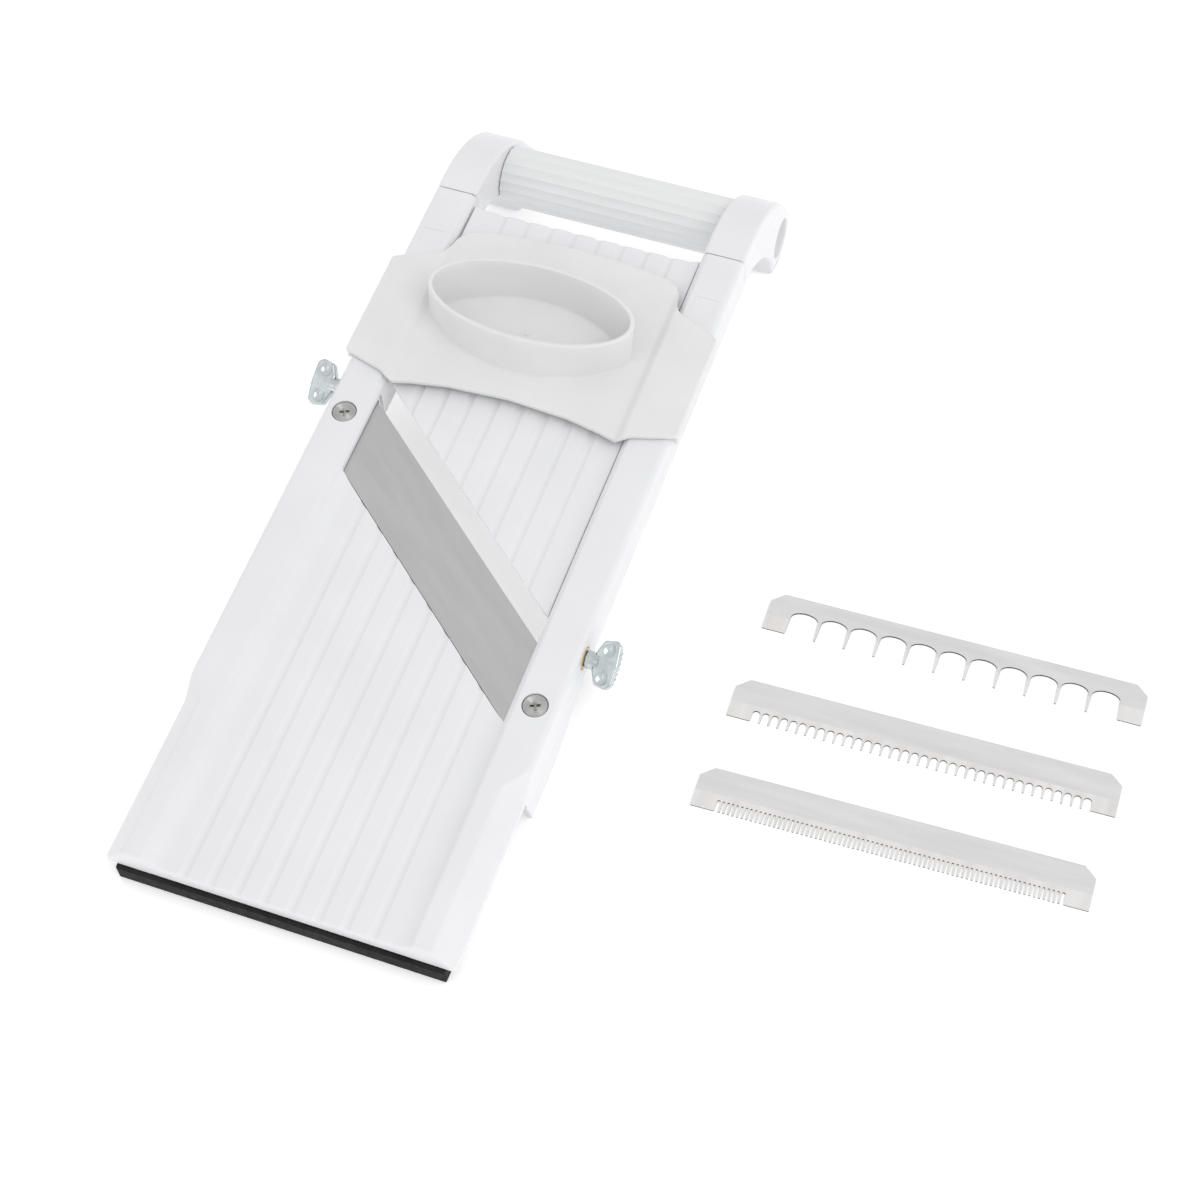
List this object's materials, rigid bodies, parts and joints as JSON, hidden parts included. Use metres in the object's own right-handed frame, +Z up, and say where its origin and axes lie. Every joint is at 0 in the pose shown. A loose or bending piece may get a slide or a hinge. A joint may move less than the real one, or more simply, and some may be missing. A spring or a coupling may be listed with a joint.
{
  "type": "mandoline slicer",
  "caption": "Wide white mandoline slicer with a diagonal steel blade, tilting thickness plate, frosted hand guard, clamp screws and loose comb blades.",
  "frame": {"origin": "on the surface it stands on, at the middle of the front rubber strip's bottom face, on the slicer's centre line", "axes": "+Z up from the table; +Y from the near end towards the handle; +X to the right when the near end faces the viewer"},
  "size_m": [0.3305, 0.3676, 0.0622],
  "materials": {
    "white_plastic": "satin moulded ABS",
    "tube_plastic": "fluted extruded plastic",
    "frosted_plastic": "frosted translucent polypropylene",
    "grey_plastic": "matte moulded acetal",
    "black_rubber": "matte rubber",
    "blade_steel": "fine ground carbon steel",
    "comb_steel": "fine ground stainless sheet",
    "zinc": "bright zinc plated casting",
    "screw_steel": "zinc plated steel",
    "brass": "plain turned brass"
  },
  "bodies": {
    "frame": {"frame": "white_plastic", "main_blade": "blade_steel", "blade_screw_left": "screw_steel", "blade_screw_right": "screw_steel", "blade_nut_left": "brass", "blade_nut_right": "brass", "hinge_pin_left": "screw_steel", "hinge_pin_right": "screw_steel", "adjusting_bushing": "brass", "clamp_insert_left": "brass", "clamp_insert_right": "brass", "arm_left": "white_plastic", "arm_right": "white_plastic", "arm_screw_left": "screw_steel", "arm_screw_right": "screw_steel", "handle_tube": "tube_plastic", "rear_foot_left": "black_rubber", "rear_foot_right": "black_rubber", "front_rubber_strip": "black_rubber"},
    "plate": {"adjustable_plate": "white_plastic"},
    "lift_block": {"lift_block": "grey_plastic", "screw_clip": "screw_steel"},
    "adjusting_screw": {"adjusting_screw": "screw_steel", "adjusting_knob": "grey_plastic"},
    "thumb_screw_left": {"thumb_screw_left": "zinc"},
    "thumb_screw_right": {"thumb_screw_right": "zinc"},
    "guard": {"hand_guard": "frosted_plastic"},
    "comb_coarse": {"comb_blade_coarse": "comb_steel"},
    "comb_medium": {"comb_blade_medium": "comb_steel"},
    "comb_fine": {"comb_blade_fine": "comb_steel"}
  },
  "joints": [
    {"name": "plate_tilt", "type": "hinge", "parent": "frame", "child": "plate", "pos_m": [0, 0.28854, 0.03869], "axis": [1, 0, 0], "range_deg": [0, 3.18]},
    {"name": "block_lift", "type": "slide", "parent": "frame", "child": "lift_block", "axis": [0, 0.1045, -0.9945], "range_m": [0, 0.003]},
    {"name": "adjusting_turn", "type": "hinge", "parent": "lift_block", "child": "adjusting_screw", "pos_m": [0, 0.23588, 0.0231], "axis": [0, 0.1045, -0.9945], "range_deg": [0, 720]},
    {"name": "thumb_turn_left", "type": "hinge", "parent": "frame", "child": "thumb_screw_left", "pos_m": [-0.066, 0.20081, 0.03148], "axis": [-1, 0, 0], "range_deg": [0, 540]},
    {"name": "thumb_turn_right", "type": "hinge", "parent": "frame", "child": "thumb_screw_right", "pos_m": [0.066, 0.11926, 0.02291], "axis": [1, 0, 0], "range_deg": [0, 540]},
    {"name": "guard_slide", "type": "slide", "parent": "frame", "child": "guard", "axis": [0, 0.9945, 0.1045], "range_m": [-0.2, 0.01]},
    {"name": "comb_coarse_lift", "type": "slide", "parent": "frame", "child": "comb_coarse", "axis": [0, 0, 1], "range_m": [0, 0.06]},
    {"name": "comb_medium_lift", "type": "slide", "parent": "frame", "child": "comb_medium", "axis": [0, 0, 1], "range_m": [0, 0.06]},
    {"name": "comb_fine_lift", "type": "slide", "parent": "frame", "child": "comb_fine", "axis": [0, 0, 1], "range_m": [0, 0.06]}
  ],
  "couplings": [
    {"joint": "block_lift", "follows": "adjusting_turn", "m_per_rad": 0.00023873},
    {"joint": "plate_tilt", "follows": "adjusting_turn", "ratio": 0.0044166}
  ]
}
